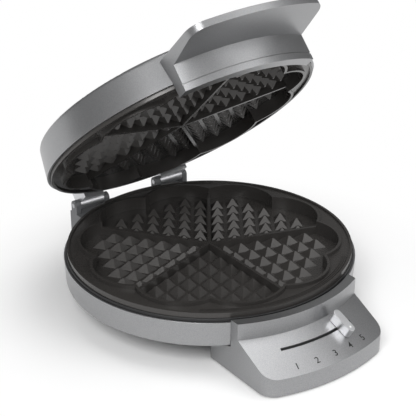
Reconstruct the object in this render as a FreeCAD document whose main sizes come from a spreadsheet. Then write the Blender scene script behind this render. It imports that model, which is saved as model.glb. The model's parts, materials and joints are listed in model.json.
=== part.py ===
import FreeCAD, Part
import math
import os
import re

import Sketcher
from FreeCAD import Rotation, Vector

# Driving sizes in millimetres and degrees, with the lid shut and the base axis at x = y = 0.
SIZES = {
    # Base housing: a round tub on a narrow pedestal
    "rim_radius": 115.0,
    "rim_height": 42.5,
    "rim_wall": 1.6,
    "housing_wall": 2.0,
    "band_taper": 0.8,
    "band_height": 22.9,
    "band_rounding": 2.4,
    "pedestal_inset": 35.0,
    "pedestal_height": 9.0,
    "opening_inset": 10.0,
    "ledge_inset": 9.0,
    "support_ring_height": 4.0,
    "ledge_thickness": 2.0,
    "cover_thickness": 2.5,
    "assembly_fit": 0.15,
    # Baking plates and their five hearts
    "parting_rise": 9.0,
    "plate_gap": 0.5,
    "plate_clearance": 1.1,
    "plate_lip": 2.0,
    "lip_drop": 2.0,
    "gutter_depth": 3.4,
    "plate_thickness": 2.8,
    "pan_depth": 11.25,
    "pan_thickness": 3.0,
    "heart_count": 5,
    "lobe_radius": 34.2,
    "gutter_width": 6.1,
    "ridge_width": 2.2,
    "ridge_drop": 0.25,
    "divider_width": 2.4,
    "divider_drop": 4.8,
    "pyramid_pitch": 13.7,
    "pyramid_base": 10.8,
    "pyramid_tip": 1.2,
    "pyramid_height": 5.6,
    "pyramid_margin": 0.8,
    "rib_count": 3,
    "rib_width": 0.7,
    "rib_height": 0.9,
    "rib_half_angle": 40.0,
    # Heating and control inside the base and lid
    "heater_inset": 8.0,
    "heater_radius": 3.3,
    "heater_pin_radius": 2.0,
    "heater_pin_spread": 8.0,
    "contact_gap": 0.05,
    "clip_width": 10.0,
    "clip_reach": 8.0,
    "clip_depth": 8.4,
    "reflector_drop": 12.0,
    "reflector_inset": 17.0,
    "reflector_rim": 7.0,
    "reflector_sheet": 0.8,
    "reflector_hole": 22.0,
    "stud_radius": 3.0,
    "stud_inset": 14.0,
    "thermostat_radius": 13.0,
    "thermostat_height": 12.0,
    "bracket_sheet": 1.5,
    "bracket_reach": 20.0,
    "bracket_half_width": 7.0,
    "spindle_radius": 2.5,
    "spindle_end": 1.5,
    "spindle_entry": 5.5,
    "running_fit": 0.05,
    "terminal_half_width": 14.0,
    "terminal_front_reach": 8.0,
    "terminal_rear_reach": 5.0,
    "terminal_rise": 1.5,
    "wire_radius": 1.3,
    "wire_spread": 3.0,
    "wire_height": 16.5,
    "fuse_radius": 2.2,
    "fuse_length": 16.0,
    "fuse_place": 40.0,
    # Control console on the front of the base
    "skirt_reach": 7.2,
    "skirt_rise": 2.5,
    "panel_rise": 16.5,
    "panel_outer_height": 15.4,
    "panel_reach": 30.8,
    "console_half_width": 55.8,
    "console_overlap": 38.0,
    "console_bottom": 1.2,
    "console_corner": 13.0,
    "console_wall": 2.2,
    "console_floor": 2.0,
    "console_flange": 3.0,
    "flange_drop": 7.9,
    "slot_reach": 10.8,
    "slot_width": 2.0,
    "slot_half_angle": 14.3,
    "knob_angle": 9.0,
    "knob_length": 18.0,
    "knob_width": 6.0,
    "knob_height": 8.0,
    "knob_gap": 0.35,
    "lever_bottom": 15.5,
    "lever_thickness": 2.0,
    "lever_half_width": 4.0,
    "lever_hub": 7.0,
    "lever_clearance": 1.0,
    "stem_thickness": 1.4,
    "stem_width": 5.0,
    "stem_rise": 4.9,
    "window_half_width": 31.0,
    "window_inset": 2.0,
    "window_depth": 22.0,
    # Hinge at the back
    "hinge_inset": 0.5,
    "hinge_rise": 8.0,
    "open_angle": 43.7,
    "pin_radius": 2.0,
    "pin_end": 0.5,
    "knuckle_radius": 4.2,
    "ear_inner": 24.0,
    "ear_thickness": 4.5,
    "arm_inner": 29.0,
    "arm_outer": 51.5,
    "arm_reach": 3.7,
    "arm_rise": 29.5,
    "bracket_half": 56.5,
    "heel_reach": 6.5,
    "heel_rise": 1.0,
    "bracket_wall": 2.5,
    "gland_bore": 3.6,
    "gland_radius": 6.0,
    "gland_flange": 8.0,
    "gland_flange_thickness": 3.0,
    # Feet and fasteners
    "foot_radius": 6.0,
    "foot_stem_radius": 2.5,
    "foot_stem_length": 4.0,
    "foot_spread": 43.0,
    "front_foot_inset": 20.0,
    "rear_foot_inset": 13.0,
    "screw_radius": 1.5,
    "screw_head_radius": 3.0,
    "screw_head_height": 1.8,
    "screw_clearance": 0.1,
    "boss_radius": 4.0,
    "boss_height": 6.0,
    "side_screw_spread": 40.0,
    "side_screw_rise": 4.0,
    "lid_screw_rise": 12.0,
    "side_screw_length": 9.5,
    # Lid housing and its handle
    "lid_inset": 1.8,
    "lid_rim_rise": 5.0,
    "lid_taper": 4.0,
    "lid_depth": 25.5,
    "lid_wall": 2.0,
    "lid_rounding": 3.5,
    "handle_half_width": 57.0,
    "handle_clearance": 0.4,
    "handle_skirt": 8.9,
    "handle_gap": 0.6,
    "handle_joint_rise": 9.5,
    "handle_reach": 33.5,
    "handle_edge_rise": 5.0,
    "handle_edge": 5.0,
    "handle_corner": 14.0,
    "handle_wall": 2.2,
    "groove_rise": 4.6,
    "groove_width": 0.9,
    "groove_depth": 0.8,
}

# Sizes that follow from the driving sizes, each a formula in their names.
WORKED = {
    "band_radius": "rim_radius - band_taper",
    "pedestal_radius": "rim_radius - pedestal_inset",
    "opening_radius": "pedestal_radius - opening_inset",
    "boss_circle": "(pedestal_radius + opening_radius) / 2",
    "ledge_radius": "rim_radius - ledge_inset",
    "ledge_height": "plate_back - support_ring_height",
    "parting_height": "rim_height + parting_rise",
    "lower_plate_radius": "rim_radius - rim_wall - plate_clearance",
    "upper_plate_radius": "lid_rim_radius - lid_wall - assembly_fit"
                          " - (2 * parting_height - plate_back - lid_rim_height) * lid_flare",
    "lobe_circle": "lower_plate_radius - plate_lip - gutter_width - ridge_width - lobe_radius",
    "plate_top": "parting_height - plate_gap / 2",
    "lip_top": "plate_top - lip_drop",
    "gutter_floor": "plate_top - gutter_depth",
    "plate_back": "gutter_floor - plate_thickness",
    "pan_floor": "plate_top - pan_depth",
    "pan_back": "pan_floor - pan_thickness",
    "pan_radius": "lobe_circle + lobe_radius + ridge_width",
    "notch_radius": "lobe_circle * cos(90 / heart_count)"
                    " + sqrt(lobe_radius ^ 2 - (lobe_circle * sin(90 / heart_count)) ^ 2)",
    "housing_inner": "band_radius - housing_wall",
    "band_inner_height": "band_height + housing_wall / 2",
    "floor_top": "pedestal_height + housing_wall",
    "cover_bottom": "pedestal_height - cover_thickness",
    "heater_circle": "opening_radius - heater_inset",
    "heater_height": "pan_back - heater_radius - contact_gap",
    "reflector_height": "pan_back - reflector_drop",
    "reflector_radius": "rim_radius - reflector_inset",
    "stud_circle": "reflector_radius - stud_inset",
    "terminal_height": "reflector_height - terminal_rise",
    "terminal_front": "heater_circle - terminal_front_reach",
    "terminal_rear": "heater_circle + terminal_rear_reach",
    "reflector_top": "reflector_height + reflector_sheet",
    "bracket_low": "pan_back - bracket_sheet",
    "thermostat_low": "bracket_low - thermostat_height",
    "skirt_radius": "rim_radius + skirt_reach",
    "skirt_top": "rim_height + skirt_rise",
    "console_radius": "skirt_radius + panel_reach",
    "console_rear": "rim_radius - console_overlap",
    "panel_inner_height": "panel_outer_height + panel_rise",
    "panel_slope": "panel_rise / panel_reach",
    "slot_circle": "skirt_radius + slot_reach",
    "flange_bottom": "panel_inner_height - flange_drop",
    "side_screw_height": "flange_bottom + side_screw_rise",
    "window_near": "pedestal_radius + window_inset",
    "window_far": "window_near + window_depth",
    "spindle_low": "lever_bottom - spindle_end",
    "stem_top": "panel_inner_height - slot_reach * panel_slope + stem_rise",
    "front_foot_place": "console_radius - front_foot_inset",
    "panel_angle": "atan(panel_slope)",
    "panel_drop": "console_wall / cos(panel_angle)",
    "lever_top": "lever_bottom + lever_thickness",
    "console_inner": "rim_radius + assembly_fit",
    "console_inside": "console_radius - console_wall",
    "hinge_back": "rim_radius - hinge_inset",
    "hinge_height": "rim_height + hinge_rise",
    "arm_back": "hinge_back + arm_reach",
    "arm_top": "rim_height + arm_rise",
    "bracket_back": "hinge_back + heel_reach",
    "bracket_top": "rim_height + heel_rise",
    "rear_foot_place": "bracket_back - rear_foot_inset",
    "gland_inner_end": "console_inner + assembly_fit",
    "lid_rim_radius": "rim_radius - lid_inset",
    "lid_top_radius": "lid_rim_radius - lid_taper",
    "lid_rim_height": "parting_height + lid_rim_rise",
    "lid_height": "lid_rim_height + lid_depth",
    "lid_screw_height": "lid_rim_height + lid_screw_rise",
    "lid_flare": "lid_taper / lid_depth",
    "handle_inner_radius": "lid_rim_radius + handle_clearance",
    "handle_skirt_radius": "handle_inner_radius + handle_skirt",
    "handle_radius": "handle_skirt_radius + handle_reach",
    "handle_bottom": "skirt_top + handle_gap",
    "groove_height": "handle_bottom + groove_rise",
    "handle_joint_height": "lid_rim_height + handle_joint_rise",
    "handle_edge_height": "handle_joint_height + handle_edge_rise",
    "handle_top": "handle_edge_height + handle_edge",
    "handle_inside": "handle_radius - handle_wall",
    "handle_cover_low": "handle_top - handle_wall",
    "handle_slope": "handle_edge_rise / handle_reach",
    "cavity_near": "handle_skirt_radius - handle_wall * 2",
    "side_screw_start": "sqrt(housing_inner ^ 2 - (side_screw_spread + screw_head_radius) ^ 2)"
                        " - screw_head_height - contact_gap",
    "lid_screw_wall": "lid_rim_radius - lid_wall"
                      " - (lid_screw_height + screw_head_radius - lid_rim_height) * lid_flare",
    "lid_screw_start": "sqrt(lid_screw_wall ^ 2 - (side_screw_spread + screw_head_radius) ^ 2)"
                       " - screw_head_height - contact_gap",
    "side_hole_length": "side_screw_length + screw_clearance",
    "ear_outer": "arm_outer + ear_gap",
    "ear_gap": "arm_inner - ear_inner - ear_thickness",
    "lid_rear_reach": "hinge_back + (lid_height - hinge_height) * sin(open_angle)"
                      " - (hinge_back - lid_top_radius) * cos(open_angle)",
    "frame_shift": "(console_radius - lid_rear_reach) / 2",
}

UP = Rotation()
REARWARD = Rotation(Vector(1, 0, 0), -90)
FORWARD = Rotation(Vector(1, 0, 0), 90)
SIDEWAYS = Rotation(Vector(0, 1, 0), 90)
ABOUT_Z = Rotation(Vector(0, 0, 1), 90)

# Directions about the base axis in degrees: none of them is the rear, where the heater's pins stand.
CLIP_ANGLES = (0, 180, 270)
STUD_ANGLES = (30, 150, 270)

doc = FreeCAD.newDocument("waffle_maker")
sheet = doc.addObject("Spreadsheet::Sheet", "Sizes")
nodes = []


def fill_sheet():
    """Write each driving size in the sheet as a plain number with its name as the alias."""
    for row, (alias, number) in enumerate(SIZES.items(), 1):
        sheet.set(f"A{row}", alias)
        sheet.set(f"B{row}", str(number))
        sheet.setAlias(f"B{row}", alias)
    doc.recompute()


def formula(text):
    """Return the text with sheet cells for sizes and worked sizes spelled out."""

    def spell(match):
        word = match.group()
        if word in WORKED:
            return "(" + formula(WORKED[word]) + ")"
        return "Sizes." + word if word in SIZES else word

    return re.sub(r"[a-z][a-z_]*", spell, text)


def size(text):
    """Return the present value of a formula."""
    return float(sheet.evalExpression(formula(text)))


def over(text):
    """Return the height that lies as far above the parting plane as this one lies below it."""
    return f"(2 * parting_height - ({text}))"


def bind(piece, **formulas):
    """Tie properties of a piece to formulas."""
    for name, text in formulas.items():
        piece.setExpression(name, formula(text))


def move(piece, x, y, z):
    """Tie a piece's place to formulas."""
    for axis, text in zip("xyz", (x, y, z)):
        piece.setExpression("Placement.Base." + axis, formula(text))


def cylinder(name, radius, length, x="0", y="0", z="0", turn=UP):
    """Add a round bar that starts at a place and runs the way it is turned."""
    piece = doc.addObject("Part::Cylinder", name)
    piece.Placement.Rotation = turn
    bind(piece, Radius=radius, Height=length)
    move(piece, x, y, z)
    return piece


def box(name, low, high):
    """Add a block between its low and high corners."""
    piece = doc.addObject("Part::Box", name)
    for side, start, end in zip(("Length", "Width", "Height"), low, high):
        piece.setExpression(side, formula(f"({end}) - ({start})"))
    move(piece, *low)
    return piece


def torus(name, circle, radius, z):
    """Add a ring of round bar about the base axis."""
    piece = doc.addObject("Part::Torus", name)
    bind(piece, Radius1=circle, Radius2=radius)
    move(piece, "0", "0", z)
    return piece


def fuse(name, *pieces):
    """Join pieces into one."""
    whole = doc.addObject("Part::MultiFuse", name)
    whole.Shapes = list(pieces)
    return whole


def common(name, *pieces):
    """Keep what pieces share."""
    whole = doc.addObject("Part::MultiCommon", name)
    whole.Shapes = list(pieces)
    return whole


def cut(name, base, *tools):
    """Take tools away from a base."""
    whole = doc.addObject("Part::Cut", name)
    whole.Base = base
    whole.Tool = tools[0] if len(tools) == 1 else fuse(name + "_tools", *tools)
    return whole


def outline(body, plane, corners):
    """Add a closed sketch of straight edges with both places of each corner bound to the sheet."""
    sketch = body.newObject("Sketcher::SketchObject", body.Name + "_outline")
    support = [part for part in body.Origin.OriginFeatures if part.Role == plane]
    sketch.AttachmentSupport = [(support[0], "")]
    sketch.MapMode = "FlatFace"
    places = [Vector(size(across), size(up), 0) for across, up in corners]
    count = len(corners)
    for index in range(count):
        sketch.addGeometry(Part.LineSegment(places[index], places[(index + 1) % count]))
    for index in range(count):
        sketch.addConstraint(Sketcher.Constraint("Coincident", index, 2, (index + 1) % count, 1))
    for index, (across, up) in enumerate(corners):
        for kind, text, value in (("DistanceX", across, places[index].x), ("DistanceY", up, places[index].y)):
            number = sketch.addConstraint(Sketcher.Constraint(kind, -1, 1, index, 1, value))
            sketch.setExpression(f"Constraints[{number}]", formula(text))
    return sketch


def lathe(name, corners, rounded=()):
    """Turn an outline of radius and height corners about the base axis and round named corners."""
    body = doc.addObject("PartDesign::Body", name)
    sketch = outline(body, "XZ_Plane", corners)
    turned = body.newObject("PartDesign::Revolution", name + "_turned")
    turned.Profile = sketch
    turned.ReferenceAxis = (sketch, ["V_Axis"])
    turned.Angle = 360
    last = turned
    for step, (radius, height, rounding) in enumerate(rounded):
        doc.recompute()
        picks = circle_edges(last.Shape, size(radius), size(height))
        fillet = body.newObject("PartDesign::Fillet", f"{name}_rounding_{step}")
        fillet.Base = (last, picks)
        bind(fillet, Radius=rounding)
        last = fillet
    body.Tip = last
    return body


def circle_edges(shape, radius, height):
    """Name the edges of a shape that are circles of this radius at this height."""
    near = 0.01
    found = []
    for number, edge in enumerate(shape.Edges, 1):
        curve = edge.Curve
        if isinstance(curve, Part.Circle) and abs(curve.Radius - radius) < near:
            if abs(curve.Center.z - height) < near:
                found.append(f"Edge{number}")
    return found


def front_block(name, profile, half_width, rear, reach, corner):
    """Keep the front of a turned form between two side planes and round its outer corners."""
    block = common(
        name + "_square",
        lathe(name + "_turned_form", profile),
        box(
            name + "_width",
            (f"-({half_width})", f"-2 * ({reach})", "-pedestal_height"),
            (half_width, f"-({rear})", "2 * parting_height"),
        ),
    )
    doc.recompute()
    side, outer, radius = size(half_width), size(reach), size(corner)
    near = 0.01
    picks = []
    for number, edge in enumerate(block.Shape.Edges, 1):
        start, end = edge.firstVertex().Point, edge.lastVertex().Point
        upright = math.hypot(start.x - end.x, start.y - end.y) < near
        on_corner = abs(abs(start.x) - side) < near and abs(math.hypot(start.x, start.y) - outer) < near
        if upright and on_corner:
            picks.append((number, radius, radius))
    smooth = doc.addObject("Part::Fillet", name)
    smooth.Base = block
    smooth.Edges = picks
    return smooth


def screw(name, x, y, z, length, turn):
    """Add a pan-head screw whose head starts at a place."""
    return fuse(
        name,
        cylinder(name + "_head", "screw_head_radius", "screw_head_height", x, y, z, turn),
        cylinder(name + "_shank", "screw_radius", length, x, y, z, turn),
    )


def screw_hole(name, x, y, z, length, turn):
    """Add the space that a screw's shank passes through."""
    return cylinder(name, "screw_radius + screw_clearance", length, x, y, z, turn)


def node(label, group, *pieces):
    """Gather solids under one label and place them with the part of the object they ride on."""
    whole = doc.addObject("Part::Compound", label)
    whole.Label = label
    whole.Links = list(pieces)
    place(whole, group)
    nodes.append(whole)


def place(whole, group):
    """Tie a sub-part's placement to the group: the base, the turning slider or the open lid."""
    if group == "base":
        move(whole, "0", "frame_shift", "0")
    if group == "slider":
        whole.Placement.Rotation = ABOUT_Z
        whole.setExpression("Placement.Rotation.Angle", formula("knob_angle"))
        move(whole, "0", "frame_shift", "0")
    if group == "lid":
        whole.Placement.Rotation = Rotation(Vector(-1, 0, 0), 90)
        whole.setExpression("Placement.Rotation.Angle", formula("open_angle"))
        back = "hinge_back * (1 - cos(open_angle)) - hinge_height * sin(open_angle) + frame_shift"
        up = "hinge_height * (1 - cos(open_angle)) + hinge_back * sin(open_angle)"
        move(whole, "0", back, up)


# Spaces that neighbours keep clear of

def housing_space(name, top):
    """Return the space of the base housing with its assembly fit, up to a height."""
    return lathe(name, [
        ("0", "cover_bottom - assembly_fit"),
        ("pedestal_radius + assembly_fit", "cover_bottom - assembly_fit"),
        ("pedestal_radius + assembly_fit", "pedestal_height - assembly_fit"),
        ("console_inner", "band_height - assembly_fit"),
        ("console_inner", top),
        ("0", top),
    ])


def lid_space(name):
    """Return the space of the lid housing with its assembly fit."""
    return lathe(name, [
        ("0", "lid_rim_height - assembly_fit"),
        ("lid_rim_radius + assembly_fit", "lid_rim_height - assembly_fit"),
        ("lid_top_radius + assembly_fit", "lid_height"),
        ("lid_top_radius + assembly_fit", "lid_height + knuckle_radius"),
        ("0", "lid_height + knuckle_radius"),
    ])


# Base housing, its cover and the ring that carries the lower plate

def base_housing():
    shell = lathe("housing_shell", [
        ("opening_radius", "pedestal_height"),
        ("pedestal_radius", "pedestal_height"),
        ("band_radius", "band_height"),
        ("rim_radius", "rim_height"),
        ("rim_radius - rim_wall", "rim_height"),
        ("rim_radius - rim_wall", "ledge_height"),
        ("ledge_radius", "ledge_height"),
        ("ledge_radius", "ledge_height - ledge_thickness"),
        ("housing_inner", "ledge_height - ledge_thickness"),
        ("housing_inner", "band_inner_height"),
        ("pedestal_radius", "floor_top"),
        ("opening_radius", "floor_top"),
    ], [("band_radius", "band_height", "band_rounding")])
    bosses = []
    holes = []
    for number, (x, y) in enumerate(boss_places()):
        bosses.append(cylinder(f"cover_boss_{number}", "boss_radius", "boss_height", x, y, "pedestal_height"))
        holes.append(screw_hole(f"boss_hole_{number}", x, y, "pedestal_height", "boss_height", UP))
    for number, x in enumerate(("-side_screw_spread", "side_screw_spread")):
        holes.append(screw_hole(f"front_hole_{number}", x, "-side_screw_start", "side_screw_height",
                                "side_hole_length", FORWARD))
        holes.append(screw_hole(f"rear_hole_{number}", x, "side_screw_start", "side_screw_height",
                                "side_hole_length", REARWARD))
    lever_window = box(
        "lever_window",
        ("-window_half_width", "-window_far", "lever_bottom - lever_clearance"),
        ("window_half_width", "-window_near", "lever_top + lever_clearance"),
    )
    wire_window = box(
        "wire_window",
        ("-wire_spread - wire_radius * 2", "window_near", "wire_height - wire_radius * 2"),
        ("wire_spread + wire_radius * 2", "window_far", "wire_height + wire_radius * 2"),
    )
    solid = fuse("housing_with_bosses", shell, *bosses)
    node("base_housing", "base", cut("housing_drilled", solid, lever_window, wire_window, *holes))


def boss_places():
    """Return the four places of the cover screws on their circle."""
    quarter = 90
    first = quarter / 2
    return [
        (f"boss_circle * cos({first + quarter * turn})", f"boss_circle * sin({first + quarter * turn})")
        for turn in range(4)
    ]


def bottom_cover():
    disc = cylinder("cover_disc", "pedestal_radius - assembly_fit", "cover_thickness", z="cover_bottom")
    holes = [
        screw_hole(f"cover_hole_{number}", x, y, "cover_bottom", "cover_thickness", UP)
        for number, (x, y) in enumerate(boss_places())
    ]
    node("bottom_cover", "base", cut("cover_drilled", disc, *holes))
    screws = [
        screw(f"cover_screw_{number}", x, y, "cover_bottom - screw_head_height",
              "screw_head_height + cover_thickness + boss_height", UP)
        for number, (x, y) in enumerate(boss_places())
    ]
    node("bottom_screws", "base", *screws)


def support_rings():
    """Make the two heat-proof rings that seat the plates in the base and in the lid."""
    inner = "pan_radius + assembly_fit"
    for label, group, outer, low, high in (
        ("base_support_ring", "base", "rim_radius - rim_wall - assembly_fit", "ledge_height", "plate_back"),
        ("upper_support_ring", "lid", lid_inside(over("ledge_height")) + " - assembly_fit",
         over("plate_back"), over("ledge_height")),
    ):
        ring = lathe(label + "_turned", [(inner, low), (outer, low), (outer, high), (inner, high)])
        node(label, group, ring)


# Baking plates with their heart pans, dividers and pyramids

def heart_angles():
    """Return the direction of each heart's axis, the first one pointing at the hinge."""
    count = int(size("heart_count"))
    return [90 + 360 / count * number for number in range(count)]


def direction(angle):
    """Return the flat unit vector at an angle in degrees."""
    return Vector(math.cos(math.radians(angle)), math.sin(math.radians(angle)), 0)


def lobe_centres():
    """Return the centres of the lobes, two for each heart."""
    quarter_step = 90 / size("heart_count")
    circle = size("lobe_circle")
    return [direction(angle + side * quarter_step) * circle for angle in heart_angles() for side in (-1, 1)]


def rosette(lobe, low, high):
    """Return the joined hearts' outline as a solid between two heights."""
    discs = [Part.makeCylinder(lobe, high - low, centre + Vector(0, 0, low)) for centre in lobe_centres()]
    core = Part.makeCylinder(size("lobe_circle"), high - low, Vector(0, 0, low))
    return core.multiFuse(discs).removeSplitter()


def inside_rosette(point, lobe):
    """Tell whether a point lies within the hearts' outline."""
    flat = Vector(point.x, point.y, 0)
    in_lobe = any((flat - centre).Length < lobe for centre in lobe_centres())
    return in_lobe or flat.Length < size("lobe_circle")


def rhombus(centre, first, second, half, height):
    """Return a rhombus wire about a centre with edges along two directions."""
    corners = []
    for along, across in ((-1, -1), (1, -1), (1, 1), (-1, 1)):
        corner = centre + first * (along * half) + second * (across * half)
        corners.append(Vector(corner.x, corner.y, height))
    return Part.makePolygon(corners + corners[:1])


def pyramids():
    """Return the pyramids of all the hearts, in rows along the two dividers that bound each heart."""
    half_heart = 180 / size("heart_count")
    half_base = size("pyramid_base") / 2
    half_tip = size("pyramid_tip") / 2
    pitch = size("pyramid_pitch")
    lobe = size("lobe_radius - pyramid_margin")
    floor = size("pan_floor")
    root = size("pan_floor - pan_thickness / 4")
    tip = size("pan_floor + pyramid_height")
    start = size("divider_width / 2 + pyramid_margin") / math.sin(math.radians(half_heart))
    rows = range(int(size("lobe_circle + lobe_radius") / pitch) + 1)
    # The base widens below the pan floor so that the faces keep one slope down to their root.
    half_root = half_base + (half_base - half_tip) * (floor - root) / (tip - floor)
    found = []
    for angle in heart_angles():
        first, second = direction(angle - half_heart), direction(angle + half_heart)
        for row in rows:
            for column in rows:
                centre = direction(angle) * start
                centre = centre + first * (row * pitch + half_base) + second * (column * pitch + half_base)
                corners = rhombus(centre, first, second, half_base, floor).Vertexes
                if all(inside_rosette(corner.Point, lobe) for corner in corners):
                    low = rhombus(centre, first, second, half_root, root)
                    high = rhombus(centre, first, second, half_tip, tip)
                    found.append(Part.makeLoft([low, high], True, True))
    return found


def dividers():
    """Return the walls between the hearts, from the centre to the notches of the outline."""
    low = size("pan_floor - pan_thickness / 4")
    high = size("plate_top - divider_drop")
    width = size("divider_width")
    length = size("notch_radius + ridge_width / 2")
    half_heart = 180 / size("heart_count")
    walls = []
    for angle in heart_angles():
        wall = Part.makeBox(length, width, high - low, Vector(0, -width / 2, low))
        wall.rotate(Vector(), Vector(0, 0, 1), angle + half_heart)
        walls.append(wall)
    return walls


def gutter_ribs(radius):
    """Return the low arc ribs on the front of the gutter."""
    low = size("gutter_floor - plate_thickness / 4")
    height = size("gutter_floor + rib_height") - low
    width = size("rib_width")
    half = size("rib_half_angle")
    inner = size("pan_radius")
    step = (radius - size("plate_lip") - inner) / (size("rib_count") + 1)
    ribs = []
    for number in range(1, int(size("rib_count")) + 1):
        middle = inner + step * number
        wedge = Part.makeCylinder(middle + width / 2, height, Vector(0, 0, low), Vector(0, 0, 1), 2 * half)
        rib = wedge.cut(Part.makeCylinder(middle - width / 2, height, Vector(0, 0, low)))
        rib.rotate(Vector(), Vector(0, 0, 1), -90 - half)
        ribs.append(rib)
    return ribs


def plate_shape(radius, ribs):
    """Return a baking plate with its face up: pan, gutter, ridge, dividers and pyramids."""
    top, gutter = size("lip_top"), size("gutter_floor")
    clear = size("plate_top + plate_gap")
    low, pan_low = size("plate_back"), size("pan_back")
    blank = Part.makeCylinder(radius, top - low, Vector(0, 0, low))
    back = Part.makeCylinder(size("pan_radius"), low - pan_low, Vector(0, 0, pan_low))
    trough = Part.makeCylinder(radius - size("plate_lip"), clear - gutter, Vector(0, 0, gutter))
    ridge = rosette(size("lobe_radius + ridge_width"), gutter, size("plate_top - ridge_drop"))
    pan = rosette(size("lobe_radius"), size("pan_floor"), clear)
    plain = blank.fuse(back).cut(trough).fuse(ridge).cut(pan)
    walled = plain.multiFuse(dividers() + ribs)
    return walled.multiFuse(pyramids()).removeSplitter()


def baking_plates():
    for label, group, radius, ribbed in (
        ("lower_plate", "base", size("lower_plate_radius"), True),
        ("upper_plate", "lid", size("upper_plate_radius"), False),
    ):
        shape = plate_shape(radius, gutter_ribs(radius) if ribbed else [])
        if group == "lid":
            shape.rotate(Vector(0, 0, size("parting_height")), Vector(0, 1, 0), 180)
        plate = doc.addObject("Part::Feature", label + "_casting")
        plate.Shape = shape
        node(label, group, plate)


# Heating elements, their clips, reflectors and studs, the same below and above the parting plane

def heating(side, group, level):
    heater = torus(side + "_heater_ring", "heater_circle", "heater_radius", level("heater_height"))
    groove = torus(side + "_clip_groove", "heater_circle", "heater_radius + contact_gap",
                   level("heater_height"))
    pins = []
    pin_holes = []
    low, high = sorted_levels(level, "terminal_height", "heater_height")
    for number, x in enumerate(("-heater_pin_spread", "heater_pin_spread")):
        y = "sqrt(heater_circle ^ 2 - heater_pin_spread ^ 2)"
        pins.append(cylinder(f"{side}_pin_{number}", "heater_pin_radius", f"{high} - {low}", x, y, low))
        pin_holes.append(cylinder(f"{side}_pin_hole_{number}", "heater_pin_radius * 2", f"{high} - {low}",
                                  x, y, low))
    node(side + "_heater", group, fuse(side + "_heater_joined", heater, *pins))

    clip_low, clip_high = sorted_levels(level, "pan_back - clip_depth", "pan_back")
    clips = []
    for number, angle in enumerate(CLIP_ANGLES):
        block = box(
            f"{side}_clip_block_{number}",
            ("heater_circle - clip_reach", "-clip_width / 2", clip_low),
            ("heater_circle + clip_reach", "clip_width / 2", clip_high),
        )
        clips.append(turned_copy(cut(f"{side}_clip_{number}", block, groove), angle))
    node(side + "_heater_clips", group, *clips)

    dish = lathe(side + "_dish", [
        ("reflector_hole", level("reflector_height")),
        ("reflector_radius - reflector_rim / 4", level("reflector_height")),
        ("reflector_radius", level("reflector_height + reflector_rim")),
        ("reflector_radius - reflector_sheet", level("reflector_height + reflector_rim")),
        ("reflector_radius - reflector_sheet - reflector_rim / 4", level("reflector_top")),
        ("reflector_hole", level("reflector_top")),
    ])
    node(side + "_reflector", group, cut(side + "_dish_pierced", dish, *pin_holes))

    stud_low, stud_high = sorted_levels(level, "reflector_top", "pan_back")
    studs = [
        cylinder(f"{side}_stud_{number}", "stud_radius", f"{stud_high} - {stud_low}",
                 f"stud_circle * cos({angle})", f"stud_circle * sin({angle})", stud_low)
        for number, angle in enumerate(STUD_ANGLES)
    ]
    node(side + "_plate_studs", group, *studs)


def sorted_levels(level, low, high):
    """Return two heights in rising order, on whichever side of the parting plane they are used."""
    first, second = level(low), level(high)
    return (first, second) if level is same_level else (second, first)


def same_level(text):
    """Return a height as it is."""
    return f"({text})"


def turned_copy(piece, angle):
    """Turn a piece about the base axis."""
    piece.Placement.Rotation = Rotation(Vector(0, 0, 1), angle)
    return piece


# Thermostat under the lower plate, turned by the slider's lever

def thermostat():
    node("thermostat_bracket", "base", box(
        "bracket_strip",
        ("-bracket_reach", "-bracket_half_width", "bracket_low"),
        ("bracket_reach", "bracket_half_width", "pan_back"),
    ))
    can = cylinder("thermostat_can", "thermostat_radius", "thermostat_height", z="thermostat_low")
    bush = cylinder("thermostat_bush", "spindle_radius + running_fit", "spindle_entry + running_fit",
                    z="thermostat_low")
    node("thermostat_body", "base", cut("thermostat_bored", can, bush))
    node("thermostat_spindle", "slider", cylinder(
        "spindle_bar", "spindle_radius", "thermostat_low + spindle_entry - spindle_low", z="spindle_low"))


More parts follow.
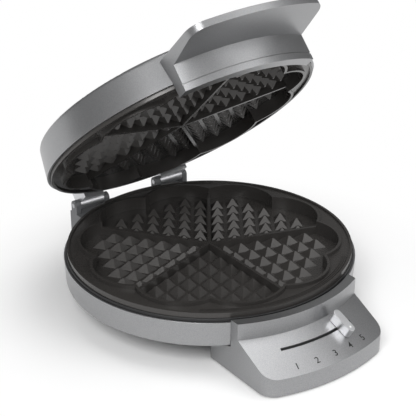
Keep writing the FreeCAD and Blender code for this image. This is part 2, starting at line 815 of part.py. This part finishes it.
def slider():
    hub = cylinder("lever_hub_disc", "lever_hub", "lever_thickness", z="lever_bottom")
    arm = box(
        "lever_arm",
        ("-lever_half_width", "-slot_circle - stem_thickness", "lever_bottom"),
        ("lever_half_width", "0", "lever_top"),
    )
    stem = box(
        "lever_stem",
        ("-stem_width / 2", "-slot_circle - stem_thickness / 2", "lever_bottom"),
        ("stem_width / 2", "-slot_circle + stem_thickness / 2", "stem_top"),
    )
    bore = cylinder("lever_bore", "spindle_radius + running_fit / 2", "lever_thickness", z="lever_bottom")
    node("slider_lever", "slider", cut("lever_bored", fuse("lever_joined", hub, arm, stem), bore))

    knob = doc.addObject("PartDesign::Body", "knob_bar")
    near, far = "slot_circle - knob_length / 2", "slot_circle + knob_length / 2"
    lean, rise = "knob_height * sin(panel_angle)", "knob_height * cos(panel_angle)"
    sketch = outline(knob, "YZ_Plane", [
        (f"-({near})", f"{panel_level(near)} + knob_gap / cos(panel_angle)"),
        (f"-({far})", f"{panel_level(far)} + knob_gap / cos(panel_angle)"),
        (f"-({far}) - {lean}", f"{panel_level(far)} + knob_gap / cos(panel_angle) + {rise}"),
        (f"-({near}) - {lean}", f"{panel_level(near)} + knob_gap / cos(panel_angle) + {rise}"),
    ])
    pad = knob.newObject("PartDesign::Pad", "knob_pad")
    pad.Profile = sketch
    pad.Midplane = True
    bind(pad, Length="knob_width")
    doc.recompute()
    near_enough = 0.01
    height = size("knob_height")
    ends = []
    for number, edge in enumerate(pad.Shape.Edges, 1):
        level_across = abs(edge.firstVertex().X - edge.lastVertex().X) < near_enough
        if level_across and abs(edge.Length - height) < near_enough:
            ends.append(f"Edge{number}")
    rounding = knob.newObject("PartDesign::Fillet", "knob_ends")
    rounding.Base = (pad, ends)
    bind(rounding, Radius="knob_width / 2 - contact_gap")
    knob.Tip = rounding
    socket = box(
        "knob_socket",
        ("-stem_width / 2 - running_fit", "-slot_circle - stem_thickness / 2 - running_fit", "lever_top"),
        ("stem_width / 2 + running_fit", "-slot_circle + stem_thickness / 2 + running_fit",
         "stem_top + running_fit"),
    )
    node("slider_knob", "slider", cut("knob_socketed", knob, socket))


def panel_level(radius):
    """Return the height of the sloping panel at a radius."""
    return f"(panel_inner_height - (({radius}) - skirt_radius) * panel_slope)"


# Control console on the front of the base

def console():
    block = front_block("console_block", [
        ("pedestal_radius / 2", "console_bottom"),
        ("console_radius", "console_bottom"),
        ("console_radius", "panel_outer_height"),
        ("skirt_radius", "panel_inner_height"),
        ("skirt_radius", "skirt_top"),
        ("console_inner", "skirt_top"),
        ("console_inner", "rim_height"),
        ("pedestal_radius / 2", "rim_height"),
    ], "console_half_width", "console_rear", "console_radius", "console_corner")
    flange = "console_inner + console_flange"
    cavity = front_block("console_cavity", [
        ("pedestal_radius / 2", "0"),
        ("console_inside", "0"),
        ("console_inside", panel_level("console_inside") + " - panel_drop"),
        (flange, panel_level(flange) + " - panel_drop"),
        (flange, "flange_bottom"),
        ("pedestal_radius / 2", "flange_bottom"),
    ], "console_half_width - console_wall", "console_rear + console_wall", "console_inside",
        "console_corner - console_wall")
    slot = cut(
        "console_slot",
        slot_wedge("slot_outer", "slot_circle + slot_width / 2"),
        cylinder("slot_inner", "slot_circle - slot_width / 2", "skirt_top"),
    )
    spread = ("-side_screw_spread", "side_screw_spread")
    holes = [
        screw_hole(f"console_hole_{number}", x, "-side_screw_start", "side_screw_height",
                   "side_hole_length", FORWARD)
        for number, x in enumerate(spread)
    ]
    seat = housing_space("console_housing_space", "skirt_top")
    node("control_console", "base", cut("console_hollow", block, cavity, seat, slot, *holes))
    node("console_screws", "base", *[
        screw(f"console_screw_{number}", x, "-side_screw_start", "side_screw_height",
              "side_screw_length", FORWARD)
        for number, x in enumerate(spread)
    ])

    inset = "console_wall + assembly_fit"
    floor = front_block("console_floor_plate", [
        ("pedestal_radius / 2", "console_bottom"),
        (f"console_radius - ({inset})", "console_bottom"),
        (f"console_radius - ({inset})", "console_bottom + console_floor"),
        ("pedestal_radius / 2", "console_bottom + console_floor"),
    ], f"console_half_width - ({inset})", f"console_rear + {inset}", f"console_radius - ({inset})",
        f"console_corner - ({inset})")
    stems = [
        cylinder(f"floor_stem_hole_{number}", "foot_stem_radius + running_fit", "foot_stem_length",
                 x, "-front_foot_place", "console_bottom")
        for number, x in enumerate(("-foot_spread", "foot_spread"))
    ]
    node("console_base", "base", cut("console_floor_drilled", floor, *stems))


def slot_wedge(name, radius):
    """Add a wedge of the console's space that spans the slot's angle."""
    wedge = cylinder(name, radius, "skirt_top")
    wedge.Placement.Rotation = ABOUT_Z
    bind(wedge, Angle="2 * slot_half_angle")
    wedge.setExpression("Placement.Rotation.Angle", formula("270 - slot_half_angle"))
    return wedge


def rubber_feet():
    feet = []
    for number, (x, y) in enumerate((
        ("-foot_spread", "-front_foot_place"),
        ("foot_spread", "-front_foot_place"),
        ("-foot_spread", "rear_foot_place"),
        ("foot_spread", "rear_foot_place"),
    )):
        pad = cylinder(f"foot_pad_{number}", "foot_radius", "console_bottom", x, y)
        stem = cylinder(f"foot_stem_{number}", "foot_stem_radius", "console_bottom + foot_stem_length",
                        x, y)
        feet.append(fuse(f"foot_{number}", pad, stem))
    node("rubber_feet", "base", *feet)


# Hinge: a hollow heel with ears on the base, pins, and arms on the lid

def hinge_bracket():
    heel = box(
        "heel_block",
        ("-bracket_half", "console_rear", "console_bottom"),
        ("bracket_half", "bracket_back", "bracket_top"),
    )
    hollow = box(
        "heel_hollow",
        ("-bracket_half + bracket_wall", "console_rear / 2", "console_bottom + bracket_wall"),
        ("bracket_half - bracket_wall", "bracket_back - bracket_wall", "bracket_top - bracket_wall"),
    )
    bosses = []
    tools = []
    screws = []
    for number, sign in enumerate(("-", "")):
        x = sign + "side_screw_spread"
        bosses.append(cylinder(f"heel_boss_{number}", "boss_radius",
                               "bracket_back - bracket_wall - console_rear",
                               x, "console_rear", "side_screw_height", REARWARD))
        tools.append(screw_hole(f"heel_hole_{number}", x, "side_screw_start", "side_screw_height",
                                "side_hole_length", REARWARD))
        tools.append(cylinder(f"heel_stem_hole_{number}", "foot_stem_radius + running_fit",
                              "foot_stem_length",
                              sign + "foot_spread", "rear_foot_place", "console_bottom"))
        screws.append(screw(f"heel_screw_{number}", x, "side_screw_start", "side_screw_height",
                            "side_screw_length", REARWARD))
    ears = []
    for side, sign in (("left", "-1"), ("right", "1")):
        for step, inner in enumerate(("ear_inner", "ear_outer")):
            low, high = signed_span(sign, inner, f"{inner} + ear_thickness")
            ears.append(box(
                f"ear_web_{side}_{step}",
                (low, "hinge_back - knuckle_radius", "rim_height + assembly_fit"),
                (high, "hinge_back + knuckle_radius", "hinge_height"),
            ))
            ears.append(cylinder(f"ear_eye_{side}_{step}", "knuckle_radius", "ear_thickness",
                                 low, "hinge_back", "hinge_height", SIDEWAYS))
    tools.append(cylinder("ear_bore", "pin_radius + running_fit", "2 * bracket_half",
                          "-bracket_half", "hinge_back", "hinge_height", SIDEWAYS))
    tools.append(cylinder("gland_hole", "gland_radius + running_fit", "bracket_back",
                          "0", "console_rear", "wire_height", REARWARD))
    shell = fuse("heel_shell", cut("heel_hollowed", heel, hollow), *bosses)
    trimmed = cut("heel_trimmed", shell, housing_space("heel_housing_space", "bracket_top + assembly_fit"))
    node("hinge_bracket", "base", cut("heel_drilled", fuse("heel_with_ears", trimmed, *ears), *tools))
    node("hinge_bracket_screws", "base", *screws)


def signed_span(sign, near, far):
    """Return the low and high ends of a span on one side of the middle plane."""
    if sign == "1":
        return near, far
    return f"-({far})", f"-({near})"


def hinge_pins_and_arms():
    screws = []
    for side, sign in (("left", "-1"), ("right", "1")):
        low, high = signed_span(sign, "ear_inner - pin_end", "ear_outer + ear_thickness + pin_end")
        node(f"hinge_pin_{side}", "base", cylinder(
            f"pin_bar_{side}", "pin_radius", f"({high}) - ({low})",
            low, "hinge_back", "hinge_height", SIDEWAYS))
        low, high = signed_span(sign, "arm_inner", "arm_outer")
        block = box(
            f"arm_block_{side}",
            (low, "hinge_back * 3 / 4", "hinge_height"),
            (high, "arm_back", "arm_top"),
        )
        eye = cylinder(f"arm_eye_{side}", "knuckle_radius", "arm_outer - arm_inner",
                       low, "hinge_back", "hinge_height", SIDEWAYS)
        bore = cylinder(f"arm_bore_{side}", "pin_radius + running_fit", "arm_outer - arm_inner",
                        low, "hinge_back", "hinge_height", SIDEWAYS)
        plate_room = cylinder(f"arm_plate_room_{side}", "upper_plate_radius + plate_gap", "parting_height",
                              z="parting_height / 2")
        x = "side_screw_spread" if sign == "1" else "-side_screw_spread"
        hole = screw_hole(f"arm_hole_{side}", x, "lid_screw_start", "lid_screw_height",
                          "side_hole_length", REARWARD)
        node(f"hinge_arm_{side}", "lid", cut(
            f"arm_bored_{side}", fuse(f"arm_joined_{side}", block, eye),
            lid_space(f"arm_lid_space_{side}"), plate_room, bore, hole))
        screws.append(screw(f"arm_screw_{side}", x, "lid_screw_start", "lid_screw_height",
                            "side_screw_length", REARWARD))
    node("hinge_arm_screws", "lid", *screws)


# Mains inlet and wiring in the base

def mains():
    tube = cylinder("gland_tube", "gland_radius", "bracket_back - gland_inner_end",
                    "0", "gland_inner_end", "wire_height", REARWARD)
    flange = cylinder("gland_collar", "gland_flange", "gland_flange_thickness",
                      "0", "bracket_back", "wire_height", REARWARD)
    bore = cylinder("gland_bore_space", "gland_bore", "bracket_back",
                    "0", "gland_inner_end", "wire_height", REARWARD)
    node("cord_gland", "base", cut("gland_bored", fuse("gland_joined", tube, flange), bore))
    node("terminal_block", "base", box(
        "terminal_bar",
        ("-terminal_half_width", "terminal_front", "pedestal_height"),
        ("terminal_half_width", "terminal_rear", "terminal_height"),
    ))
    node("base_wiring", "base", *[
        cylinder(f"wire_{number}", "wire_radius", "gland_inner_end - terminal_rear",
                 x, "terminal_rear", "wire_height", REARWARD)
        for number, x in enumerate(("-wire_spread", "wire_spread"))
    ])
    node("thermal_fuse", "base", cylinder(
        "fuse_can", "fuse_radius", "fuse_length",
        "-fuse_length / 2", "-fuse_place", "pan_back - fuse_radius - contact_gap", SIDEWAYS))


# Lid housing and its handle

def lid_housing():
    inner = "lid_rim_radius - lid_wall"
    shell = lathe("lid_shell", [
        ("lid_rim_radius", "lid_rim_height"),
        ("lid_top_radius", "lid_height"),
        ("0", "lid_height"),
        ("0", "lid_height - lid_wall"),
        ("lid_top_radius - lid_wall", "lid_height - lid_wall"),
        (lid_inside(over("ledge_height - ledge_thickness")), over("ledge_height - ledge_thickness")),
        ("ledge_radius", over("ledge_height - ledge_thickness")),
        ("ledge_radius", over("ledge_height")),
        (lid_inside(over("ledge_height")), over("ledge_height")),
        (inner, "lid_rim_height"),
    ], [("lid_top_radius", "lid_height", "lid_rounding")])
    holes = []
    for number, x in enumerate(("-side_screw_spread", "side_screw_spread")):
        holes.append(screw_hole(f"lid_front_hole_{number}", x, "-lid_screw_start", "lid_screw_height",
                                "side_hole_length", FORWARD))
        holes.append(screw_hole(f"lid_rear_hole_{number}", x, "lid_screw_start", "lid_screw_height",
                                "side_hole_length", REARWARD))
    node("lid_housing", "lid", cut("lid_drilled", shell, *holes))


def lid_inside(height):
    """Return the radius of the lid wall's inner face at a height."""
    return f"(lid_rim_radius - lid_wall - ({height} - lid_rim_height) * lid_flare)"


def lid_handle():
    outer = front_block("handle_block", [
        ("handle_inner_radius", "handle_bottom"),
        ("handle_skirt_radius", "handle_bottom"),
        ("handle_skirt_radius", "handle_joint_height"),
        ("handle_radius", "handle_edge_height"),
        ("handle_radius", "handle_top"),
        ("ledge_radius", "handle_top"),
        ("ledge_radius", "lid_rim_height"),
        ("handle_inner_radius", "lid_rim_height"),
    ], "handle_half_width", "lid_rim_radius / 2", "handle_radius", "handle_corner")
    groove = lathe("handle_groove", [
        ("handle_skirt_radius - groove_depth", "groove_height"),
        ("handle_skirt_radius + groove_depth", "groove_height"),
        ("handle_skirt_radius + groove_depth", "groove_height + groove_width"),
        ("handle_skirt_radius - groove_depth", "groove_height + groove_width"),
    ])
    underside = "handle_joint_height + (({}) - handle_skirt_radius) * handle_slope + handle_wall"
    cavity = front_block("handle_cavity", [
        ("cavity_near", underside.format("cavity_near")),
        ("handle_inside - handle_wall", underside.format("handle_inside - handle_wall")),
        ("handle_inside - handle_wall", "handle_top"),
        ("cavity_near", "handle_top"),
    ], "handle_half_width - handle_wall * 2", "lid_rim_radius / 2", "handle_inside - handle_wall",
        "handle_corner - handle_wall * 2")
    seat = handle_top_plate("handle_seat", "handle_wall")
    spread = ("-side_screw_spread", "side_screw_spread")
    holes = [
        screw_hole(f"handle_hole_{number}", x, "-lid_screw_start", "lid_screw_height",
                   "side_hole_length", FORWARD)
        for number, x in enumerate(spread)
    ]
    node("lid_handle", "lid",
         cut("handle_hollow", outer, cavity, seat, groove, lid_space("handle_lid_space"), *holes))
    node("lid_handle_screws", "lid", *[
        screw(f"handle_screw_{number}", x, "-lid_screw_start", "lid_screw_height",
              "side_screw_length", FORWARD)
        for number, x in enumerate(spread)
    ])
    lid = handle_top_plate("handle_cover_plate", "handle_wall + assembly_fit")
    node("lid_handle_cover", "lid", cut("handle_cover_trimmed", lid, lid_space("cover_lid_space")))


def handle_top_plate(name, inset):
    """Make the plate that closes the handle from above, this far inside the handle's outline."""
    outer = f"handle_radius - ({inset})"
    return front_block(name, [
        ("ledge_radius", "handle_cover_low"),
        (outer, "handle_cover_low"),
        (outer, "handle_top"),
        ("ledge_radius", "handle_top"),
    ], f"handle_half_width - ({inset})", "lid_rim_radius / 2", outer, f"handle_corner - ({inset})")


def build():
    base_housing()
    bottom_cover()
    support_rings()
    baking_plates()
    heating("lower", "base", same_level)
    heating("upper", "lid", over)
    thermostat()
    slider()
    console()
    rubber_feet()
    hinge_bracket()
    hinge_pins_and_arms()
    mains()
    lid_housing()
    lid_handle()
    doc.recompute()


def check():
    """Stop if any object failed or any sub-part has no sound shape."""
    for piece in doc.Objects:
        if "Invalid" in piece.State or "Error" in piece.State:
            raise RuntimeError(f"{piece.Label} failed: {piece.State}")
    for whole in nodes:
        if whole.Shape.isNull() or not whole.Shape.isValid() or not whole.Shape.Solids:
            raise RuntimeError(f"{whole.Label} has no sound shape")


def export():
    os.makedirs("parts", exist_ok=True)
    for whole in nodes:
        whole.Shape.exportStep(f"parts/{whole.Label}.step")


fill_sheet()
build()
check()
export()
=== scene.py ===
import json
from math import atan, cos, radians, sin

import bpy
from mathutils import Matrix, Vector


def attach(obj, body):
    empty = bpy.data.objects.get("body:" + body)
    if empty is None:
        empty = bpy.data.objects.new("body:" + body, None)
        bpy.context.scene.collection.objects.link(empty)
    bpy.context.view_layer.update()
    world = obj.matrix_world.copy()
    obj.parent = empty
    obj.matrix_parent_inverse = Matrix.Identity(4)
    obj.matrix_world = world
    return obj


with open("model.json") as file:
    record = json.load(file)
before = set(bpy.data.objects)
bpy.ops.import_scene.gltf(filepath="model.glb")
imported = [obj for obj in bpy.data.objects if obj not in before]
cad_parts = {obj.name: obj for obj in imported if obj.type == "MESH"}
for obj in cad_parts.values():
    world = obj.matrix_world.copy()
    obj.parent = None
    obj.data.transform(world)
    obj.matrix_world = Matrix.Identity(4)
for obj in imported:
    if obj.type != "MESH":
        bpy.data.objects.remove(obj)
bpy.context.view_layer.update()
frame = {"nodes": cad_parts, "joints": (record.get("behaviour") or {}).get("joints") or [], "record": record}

MM = 0.001
nodes = frame["nodes"]
joints = {joint["name"]: joint for joint in frame["joints"]}

# The vertical axis of the round base, which the slider turns about.
AXIS_X, AXIS_Y, _ = joints["heat_slider"]["pos_m"]
BASE_AXIS = Vector((AXIS_X, AXIS_Y, 0.0))

# The console's sloping panel, from the base axis, and the numbers printed along its outer edge.
SKIRT_RADIUS = 122.2 * MM
CONSOLE_RADIUS = 153.0 * MM
PANEL_INNER_HEIGHT = 31.9 * MM
PANEL_OUTER_HEIGHT = 15.4 * MM
PANEL_SLOPE = (PANEL_INNER_HEIGHT - PANEL_OUTER_HEIGHT) / (CONSOLE_RADIUS - SKIRT_RADIUS)
PANEL_TILT = atan(PANEL_SLOPE)
DIGIT_CIRCLE = 146.8 * MM
DIGIT_HEIGHT = 7.0 * MM
DIGIT_BOLDNESS = 0.04 * MM
DIGIT_THICKNESS = 0.08 * MM
DIGIT_ANGLES = {"1": -11.7, "2": -5.2, "3": 1.3, "4": 7.3, "5": 12.9}

# The slider knob at rest, square to the panel, and the light dot near its outer end.
KNOB_ANGLE = 9.0
KNOB_CIRCLE = 133.0 * MM
KNOB_GAP = 0.35 * MM
KNOB_HEIGHT = 8.0 * MM
DOT_REACH = 6.2 * MM
DOT_RADIUS = 0.9 * MM
DOT_THICKNESS = 0.2 * MM
DOT_ROUNDING = 0.07 * MM
DOT_SIDES = 32

# Softened edges of the solids.
MERGE_DISTANCE = 0.002 * MM
EDGE_ANGLE = radians(28)
EDGE_SEGMENTS = 2
EDGE_WIDTH = 0.5 * MM
OWN_EDGE_WIDTHS = {
    "lower_plate": 0.35 * MM,
    "upper_plate": 0.35 * MM,
    "slider_knob": 0.8 * MM,
    "hinge_bracket": 1.2 * MM,
}

# Camera at the photograph's place, for a square frame.
FRAME_PIXELS = 416
FOCAL_PIXELS = 1153.6
SENSOR_WIDTH = 36.0
CAMERA_AZIMUTH = radians(-36.4)
CAMERA_ELEVATION = radians(26.0)
CAMERA_DISTANCE = 900.0 * MM
CAMERA_AIM = BASE_AXIS + Vector((-1.5, 0.0, 77.4)) * MM

# Floor of white paper, which fades to plain white between two distances from the base axis.
FLOOR_SIZE = 30.0
FADE_START = 120.0 * MM
FADE_END = 240.0 * MM
PLAIN_WHITE = 1.0

# Studio walls that are brightest on one side, and soft square lamps, placed in metres from the base axis.
BRIGHT_SIDE = Vector((-0.35, -0.75, 0.55))
FACING_AWAY = -1.0
FACING_IT = 1.0
WALL_DARK = 0.05
WALL_BRIGHT = 0.53
LAMPS = {
    "key": {"place": (-0.80, -0.60, 0.92), "width": 0.55, "watts": 10.5},
    "fill": {"place": (0.55, -0.85, 0.90), "width": 0.9, "watts": 4.3},
    "top": {"place": (0.25, 0.05, 1.40), "width": 0.9, "watts": 6.8},
}

# Grain of every finish: how many finer layers it has and how strongly its relief shows.
GRAIN_DETAIL = 4.0
RELIEF_STRENGTH = 0.25

# Finishes by material slot, with lengths in millimetres. The flake and grit of the real finishes are too fine
# to show, so each grain is drawn about as coarse as a pixel of the render.
FINISHES = {
    # Metallic paint on moulded ABS: flake under a satin coat gives soft, grainy reflections.
    "silver_plastic": dict(name="silver_metallic_paint_on_abs", light="#AEAEAF", dark="#828385",
                           grain=0.6, roughness=(0.28, 0.40), relief=0.012, metallic=0.9),
    # Paler metallic paint on the knob, with a paler shine and less grain; the hinge arms are the lid's silver
    # paint, and on them this paler tone is a painted highlight.
    "bright_plastic": dict(name="pale_knob_paint_and_hinge_arm_highlight", light="#DCDCDD", dark="#C1C2C5",
                           grain=0.7, roughness=(0.28, 0.38), relief=0.01, metallic=0.8),
    # ABS moulded in dark grey: a dull, slightly textured skin.
    "grey_plastic": dict(name="dark_grey_moulded_abs", light="#717274", dark="#5F6062",
                         grain=0.8, roughness=(0.45, 0.58), relief=0.02),
    # Heat-proof phenolic moulding: near black and dull.
    "black_plastic": dict(name="black_phenolic_moulding", light="#242425", dark="#181819",
                          grain=0.8, roughness=(0.45, 0.60), relief=0.02),
    # Non-stick coating on cast aluminium: warm black with a half gloss that catches on each edge.
    "nonstick_aluminium": dict(name="ptfe_coated_cast_aluminium", light="#444240", dark="#343231",
                               grain=0.9, roughness=(0.20, 0.30), relief=0.006, metallic=0.2),
    # Zinc plating on pressed steel: pale metal with a cloudy gloss.
    "plated_steel": dict(name="zinc_plated_steel", light="#B9BABC", dark="#A2A3A6",
                         grain=1.2, roughness=(0.28, 0.42), relief=0.01, metallic=1.0),
    # Moulded rubber: black, with no gloss.
    "black_rubber": dict(name="black_moulded_rubber", light="#1E1E1E", dark="#141414",
                         grain=0.6, roughness=(0.70, 0.85), relief=0.03),
}

# Pad-print ink of the numbers: a flat, slightly uneven black film.
INK = dict(name="black_pad_print_ink", light="#1A1A1A", dark="#101010",
           grain=0.4, roughness=(0.50, 0.60), relief=0.005)

# Paint of the knob's dot: clean white with a soft shine.
DOT_PAINT = dict(name="white_dot_paint", light="#F2F2F2", dark="#E6E6E6",
                 grain=0.3, roughness=(0.35, 0.45), relief=0.003)

# Paper of the floor: matt and almost even.
FLOOR_PAPER = dict(name="white_paper_sweep", light="#F6F6F6", dark="#F4F4F4",
                   grain=40, roughness=(0.6, 0.65), relief=0.001)


def srgb(code):
    """Turn a hex sRGB colour into linear RGBA."""
    parts = [int(code[start:start + 2], 16) / 255 for start in (1, 3, 5)]
    return [part / 12.92 if part <= 0.04045 else ((part + 0.055) / 1.055) ** 2.4 for part in parts] + [1.0]


def add(tree, kind, inputs=None, **settings):
    """Add a node with its settings; an input is a value or another node's output socket."""
    made = tree.nodes.new(kind)
    for name, value in settings.items():
        setattr(made, name, value)
    for name, value in (inputs or {}).items():
        if isinstance(value, bpy.types.NodeSocket):
            tree.links.new(value, made.inputs[name])
        else:
            made.inputs[name].default_value = value
    return made


def make_finish(name, light, dark, grain, roughness, relief, metallic=0.0):
    """Make a moulded, painted or plated surface: a grainy tone, an uneven gloss and a fine relief."""
    material = bpy.data.materials.new(name)
    material.use_nodes = True
    tree = material.node_tree
    shader = tree.nodes["Principled BSDF"]
    place = add(tree, "ShaderNodeTexCoord")
    speckle = add(tree, "ShaderNodeTexNoise", {
        "Vector": place.outputs["Object"],
        "Scale": 1.0 / (grain * MM),
        "Detail": GRAIN_DETAIL,
    })
    amount = speckle.outputs["Fac"]
    tone = add(tree, "ShaderNodeMix", {0: amount, 6: srgb(dark), 7: srgb(light)}, data_type="RGBA")
    gloss = add(tree, "ShaderNodeMapRange", {"Value": amount, "To Min": roughness[0], "To Max": roughness[1]})
    bump = add(tree, "ShaderNodeBump", {
        "Height": amount,
        "Strength": RELIEF_STRENGTH,
        "Distance": relief * MM,
    })
    tree.links.new(tone.outputs[2], shader.inputs["Base Color"])
    tree.links.new(gloss.outputs["Result"], shader.inputs["Roughness"])
    tree.links.new(bump.outputs["Normal"], shader.inputs["Normal"])
    shader.inputs["Metallic"].default_value = metallic
    return material


def dress_nodes():
    """Give each solid its finish, merge its triangles and soften its edges."""
    materials = {slot: make_finish(**values) for slot, values in FINISHES.items()}
    slots = {part["node"]: part["material_slot"] for part in frame["record"]["subparts"]}
    for name, piece in nodes.items():
        piece.data.materials.clear()
        piece.data.materials.append(materials[slots[name]])
        for face in piece.data.polygons:
            face.use_smooth = True
        weld = piece.modifiers.new("merge", "WELD")
        weld.merge_threshold = MERGE_DISTANCE
        bevel = piece.modifiers.new("soft_edges", "BEVEL")
        bevel.width = OWN_EDGE_WIDTHS.get(name, EDGE_WIDTH)
        bevel.segments = EDGE_SEGMENTS
        bevel.limit_method = "ANGLE"
        bevel.angle_limit = EDGE_ANGLE
        normals = piece.modifiers.new("even_shading", "WEIGHTED_NORMAL")
        normals.keep_sharp = False


def on_panel(angle, radius):
    """Return the place of a mark that lies on the sloping panel at an angle and radius."""
    turn = radians(angle)
    height = PANEL_INNER_HEIGHT - (radius - SKIRT_RADIUS) * PANEL_SLOPE
    spot = BASE_AXIS + Vector((radius * sin(turn), -radius * cos(turn), height))
    return Matrix.Translation(spot) @ Matrix.Rotation(turn, 4, "Z") @ Matrix.Rotation(PANEL_TILT, 4, "X")


def heat_numbers():
    """Print the heat numbers along the outer edge of the panel."""
    ink = make_finish(**INK)
    for digit, angle in DIGIT_ANGLES.items():
        bpy.ops.object.select_all(action="DESELECT")
        bpy.ops.object.text_add()
        mark = bpy.context.object
        mark.data.body = digit
        mark.data.size = DIGIT_HEIGHT
        mark.data.align_x = "CENTER"
        mark.data.align_y = "CENTER"
        mark.data.extrude = DIGIT_THICKNESS
        mark.data.offset = DIGIT_BOLDNESS
        bpy.ops.object.convert(target="MESH")
        mark = bpy.context.object
        mark.name = "heat_number_" + digit
        mark.data.transform(on_panel(angle, DIGIT_CIRCLE))
        mark.data.materials.clear()
        mark.data.materials.append(ink)
        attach(mark, "base")


def knob_dot():
    """Set a small light dot with rounded edges in the top of the slider knob."""
    bpy.ops.object.select_all(action="DESELECT")
    bpy.ops.mesh.primitive_cylinder_add(vertices=DOT_SIDES, radius=DOT_RADIUS, depth=DOT_THICKNESS)
    bpy.ops.object.mode_set(mode="EDIT")
    bpy.ops.mesh.select_all(action="SELECT")
    bpy.ops.mesh.bevel(offset=DOT_ROUNDING, segments=EDGE_SEGMENTS)
    bpy.ops.object.mode_set(mode="OBJECT")
    dot = bpy.context.object
    dot.name = "knob_dot"
    knob_top = Matrix.Translation((0.0, -DOT_REACH, KNOB_GAP + KNOB_HEIGHT))
    dot.data.transform(on_panel(KNOB_ANGLE, KNOB_CIRCLE) @ knob_top)
    dot.data.materials.append(make_finish(**DOT_PAINT))
    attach(dot, "slider")


def paper():
    """Make paper that keeps the shadow near the object and is seen as plain white further out."""
    material = make_finish(**FLOOR_PAPER)
    tree = material.node_tree
    path = add(tree, "ShaderNodeLightPath")
    mirrored = add(tree, "ShaderNodeMath", {
        0: path.outputs["Is Glossy Ray"],
        1: path.outputs["Is Transmission Ray"],
    }, operation="ADD")
    seen = add(tree, "ShaderNodeMath", {
        0: path.outputs["Is Camera Ray"],
        1: mirrored.outputs["Value"],
    }, operation="ADD", use_clamp=True)
    place = add(tree, "ShaderNodeTexCoord")
    reach = add(tree, "ShaderNodeVectorMath", {
        0: place.outputs["Object"],
        1: BASE_AXIS,
    }, operation="DISTANCE")
    fade = add(tree, "ShaderNodeMapRange", {
        "Value": reach.outputs["Value"],
        "From Min": FADE_START,
        "From Max": FADE_END,
    }, interpolation_type="SMOOTHSTEP")
    share = add(tree, "ShaderNodeMath", {
        0: seen.outputs["Value"],
        1: fade.outputs["Result"],
    }, operation="MULTIPLY")
    white = add(tree, "ShaderNodeEmission", {"Color": srgb("#FFFFFF"), "Strength": PLAIN_WHITE})
    sheet = tree.nodes["Principled BSDF"]
    both = add(tree, "ShaderNodeMixShader", {
        "Fac": share.outputs["Value"],
        1: sheet.outputs["BSDF"],
        2: white.outputs["Emission"],
    })
    tree.links.new(both.outputs["Shader"], tree.nodes["Material Output"].inputs["Surface"])
    return material


def floor():
    """Lay the pale floor that the object stands on."""
    bpy.ops.object.select_all(action="DESELECT")
    bpy.ops.mesh.primitive_plane_add(size=FLOOR_SIZE)
    sheet = bpy.context.object
    sheet.name = "floor"
    sheet.data.materials.append(paper())


def studio_walls():
    """Light the object from all round, most from the bright side of the studio."""
    world = bpy.data.worlds.new("studio")
    bpy.context.scene.world = world
    world.use_nodes = True
    tree = world.node_tree
    tree.nodes.clear()
    place = add(tree, "ShaderNodeTexCoord")
    toward = add(tree, "ShaderNodeVectorMath", {
        0: place.outputs["Generated"],
        1: BRIGHT_SIDE.normalized(),
    }, operation="DOT_PRODUCT")
    level = add(tree, "ShaderNodeMapRange", {
        "Value": toward.outputs["Value"],
        "From Min": FACING_AWAY,
        "From Max": FACING_IT,
        "To Min": WALL_DARK,
        "To Max": WALL_BRIGHT,
    })
    lit = add(tree, "ShaderNodeBackground", {"Color": srgb("#F4F4F4"), "Strength": level.outputs["Result"]})
    add(tree, "ShaderNodeOutputWorld", {"Surface": lit.outputs["Background"]})


def lamp(name, place, width, watts):
    """Add a square soft light that faces the object."""
    light = bpy.data.lights.new(name, "AREA")
    light.shape = "SQUARE"
    light.size = width
    light.energy = watts
    holder = bpy.data.objects.new(name, light)
    holder.location = BASE_AXIS + Vector(place)
    aim = CAMERA_AIM - holder.location
    holder.rotation_euler = aim.to_track_quat("-Z", "Y").to_euler()
    bpy.context.scene.collection.objects.link(holder)


def camera():
    """Set the camera where the photograph was taken from."""
    lens = bpy.data.cameras.new("camera")
    lens.sensor_width = SENSOR_WIDTH
    lens.lens = FOCAL_PIXELS / FRAME_PIXELS * SENSOR_WIDTH
    eye = bpy.data.objects.new("camera", lens)
    back = Vector((
        sin(CAMERA_AZIMUTH) * cos(CAMERA_ELEVATION),
        -cos(CAMERA_AZIMUTH) * cos(CAMERA_ELEVATION),
        sin(CAMERA_ELEVATION),
    ))
    eye.location = CAMERA_AIM + back * CAMERA_DISTANCE
    eye.rotation_euler = (radians(90) - CAMERA_ELEVATION, 0.0, CAMERA_AZIMUTH)
    bpy.context.scene.collection.objects.link(eye)
    bpy.context.scene.camera = eye


dress_nodes()
heat_numbers()
knob_dot()
floor()
studio_walls()
for lamp_name, values in LAMPS.items():
    lamp(lamp_name, **values)
camera()
bpy.context.scene.view_settings.view_transform = "Standard"
